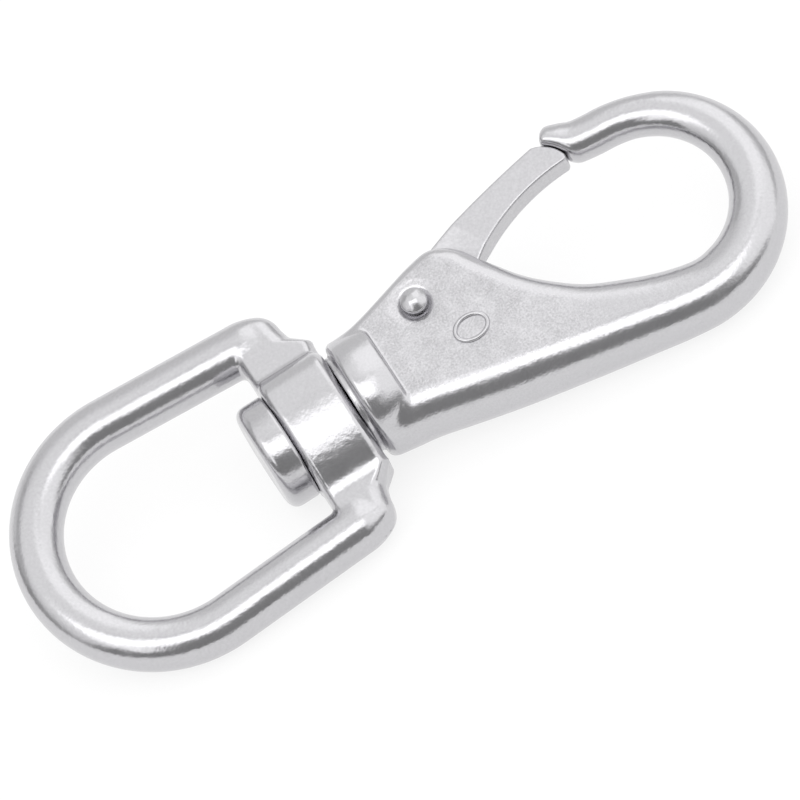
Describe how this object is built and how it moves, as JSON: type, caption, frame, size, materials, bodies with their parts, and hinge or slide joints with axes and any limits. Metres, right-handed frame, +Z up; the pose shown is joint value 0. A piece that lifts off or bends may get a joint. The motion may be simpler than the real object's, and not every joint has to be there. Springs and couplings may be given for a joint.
{
  "type": "swivel snap hook",
  "caption": "Steel swivel snap hook: cast hook with a sprung bar gate on a rivet pin, turning on a headed stud in a U-shaped cast eye.",
  "frame": {"origin": "centre of the box's underside, on the surface it lies on, below the swivel axis", "axes": "+X along the swivel axis towards the hook's bend, +Y level and towards the gate's side, +Z up from the surface; the hook and the eye lie rolled 17.4 degrees about +X, with the gate's side up"},
  "size_m": [0.066, 0.0224, 0.0099],
  "materials": {
    "hook_steel": "polished edges, satin flats",
    "stud_steel": "polished",
    "spring_wire": "drawn wire",
    "gate_steel": "satin",
    "eye_steel": "polished"
  },
  "bodies": {
    "hook": {"hook_body": "hook_steel", "swivel_stud": "stud_steel", "gate_pin": "stud_steel", "gate_spring": "spring_wire"},
    "gate": {"gate": "gate_steel"},
    "eye": {"swivel_eye": "eye_steel"}
  },
  "joints": [
    {"name": "gate_hinge", "type": "hinge", "parent": "hook", "child": "gate", "pos_m": [0.00385, 0.00301, 0.00589], "axis": [0, -0.2995, 0.9541], "range_deg": [-28, 0], "stiffness_Nm_per_rad": 0.02, "springref_deg": 0.57, "deforming": ["gate_spring"]},
    {"name": "swivel", "type": "hinge", "parent": "hook", "child": "eye", "pos_m": [-0.007, 0, 0.00495], "axis": [1, 0, 0], "continuous": true}
  ]
}
